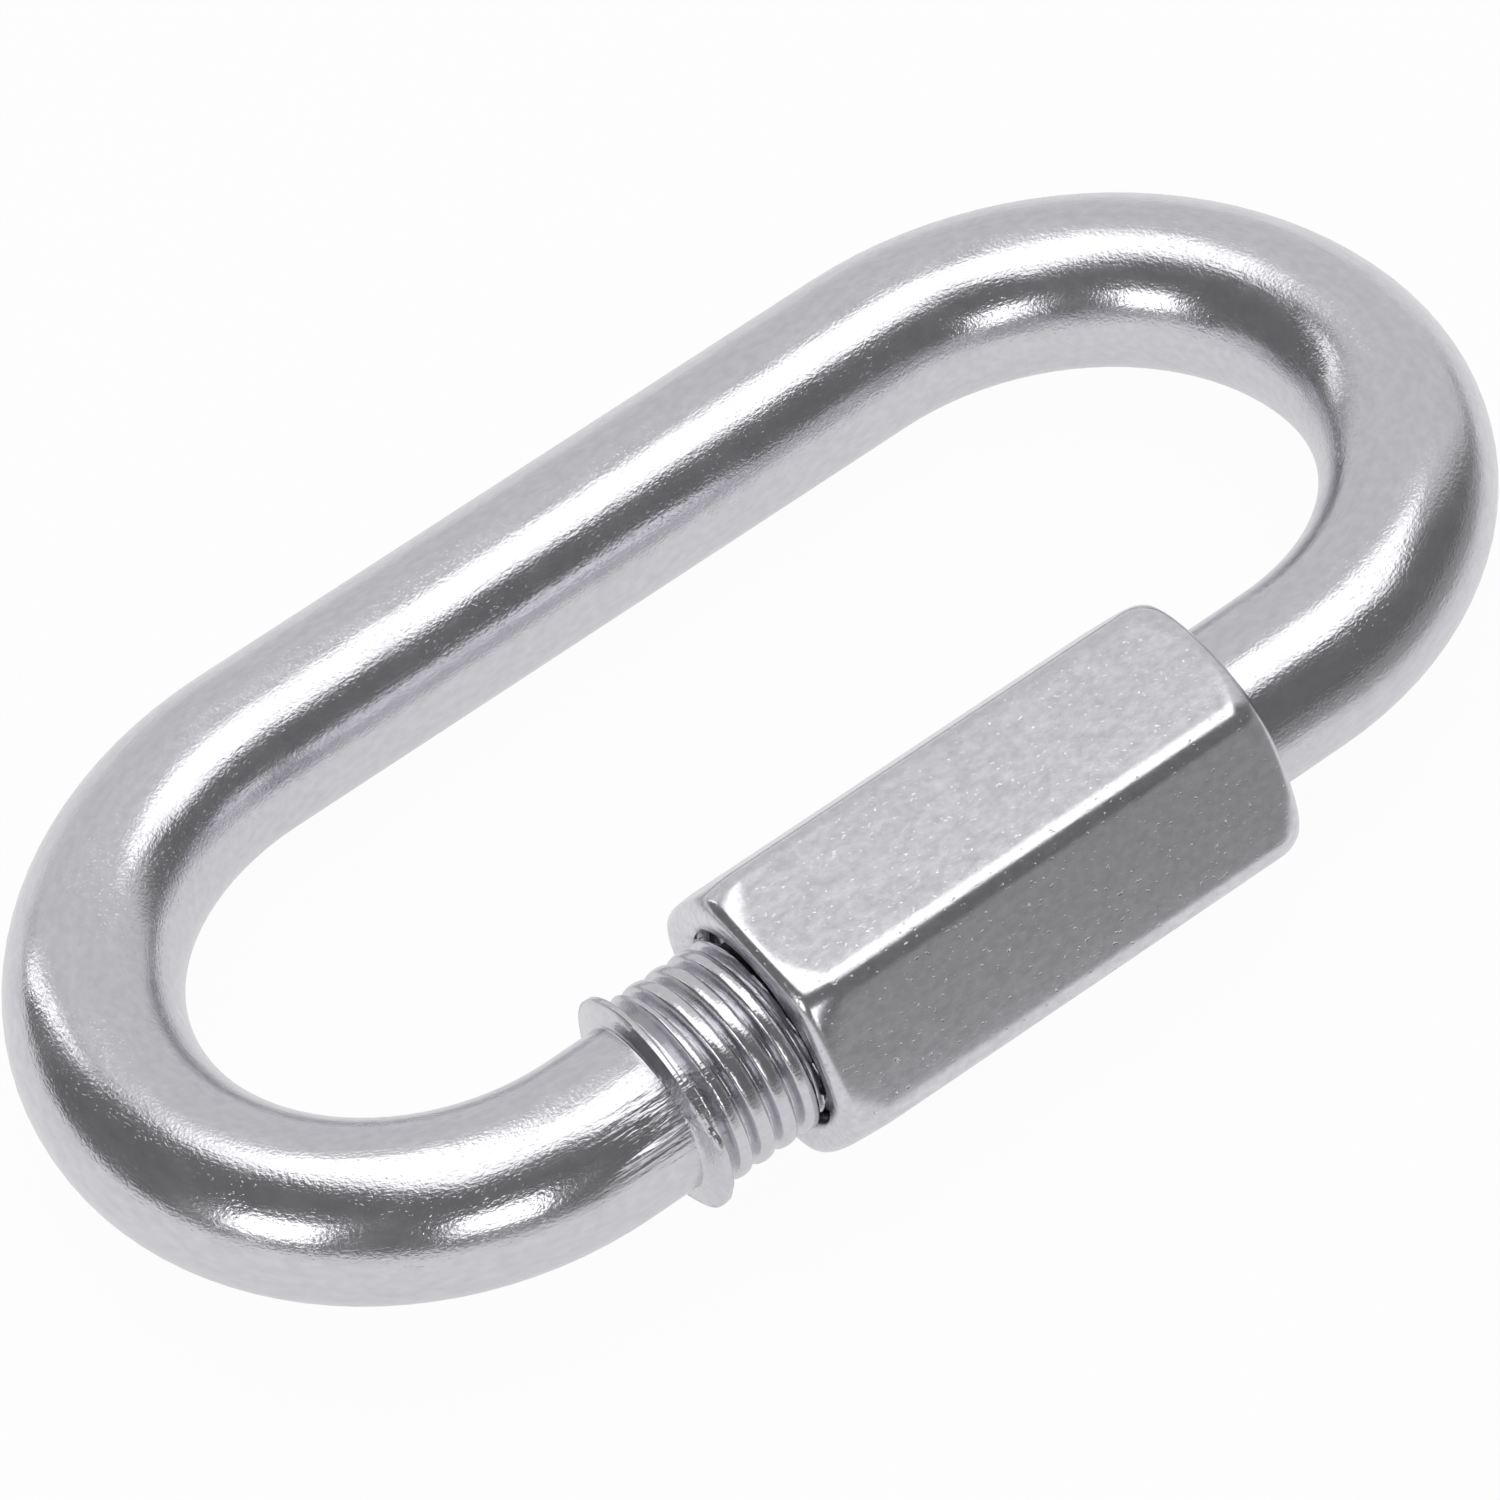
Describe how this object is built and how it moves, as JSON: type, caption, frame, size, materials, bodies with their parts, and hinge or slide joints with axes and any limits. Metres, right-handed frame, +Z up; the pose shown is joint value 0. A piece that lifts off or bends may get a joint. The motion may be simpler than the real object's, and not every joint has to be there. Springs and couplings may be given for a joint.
{
  "type": "chain quick link",
  "caption": "Oval link bent from round steel rod, with a threaded mouth in one leg that a long hexagonal sleeve nut closes, for joining lengths of chain.",
  "frame": {"origin": "on the floor under the middle of the link's bounding box, as it lies at rest", "axes": "+X along the legs, from the threaded collar's end to the plain end; +Y from the nut's leg to the plain leg; +Z up"},
  "size_m": [0.0462, 0.0254, 0.0083],
  "materials": {
    "rod_plating": "bright zinc plating on drawn steel rod, glossy",
    "nut_plating": "bright zinc plating on hexagonal bar, satin with fine pits"
  },
  "bodies": {
    "link": {"link_body": "rod_plating"},
    "nut": {"sleeve_nut": "nut_plating"}
  },
  "joints": [
    {"name": "nut_travel", "type": "slide", "parent": "link", "child": "nut", "axis": [1, 0, 0], "range_m": [-0.0032, 0.0056]}
  ]
}
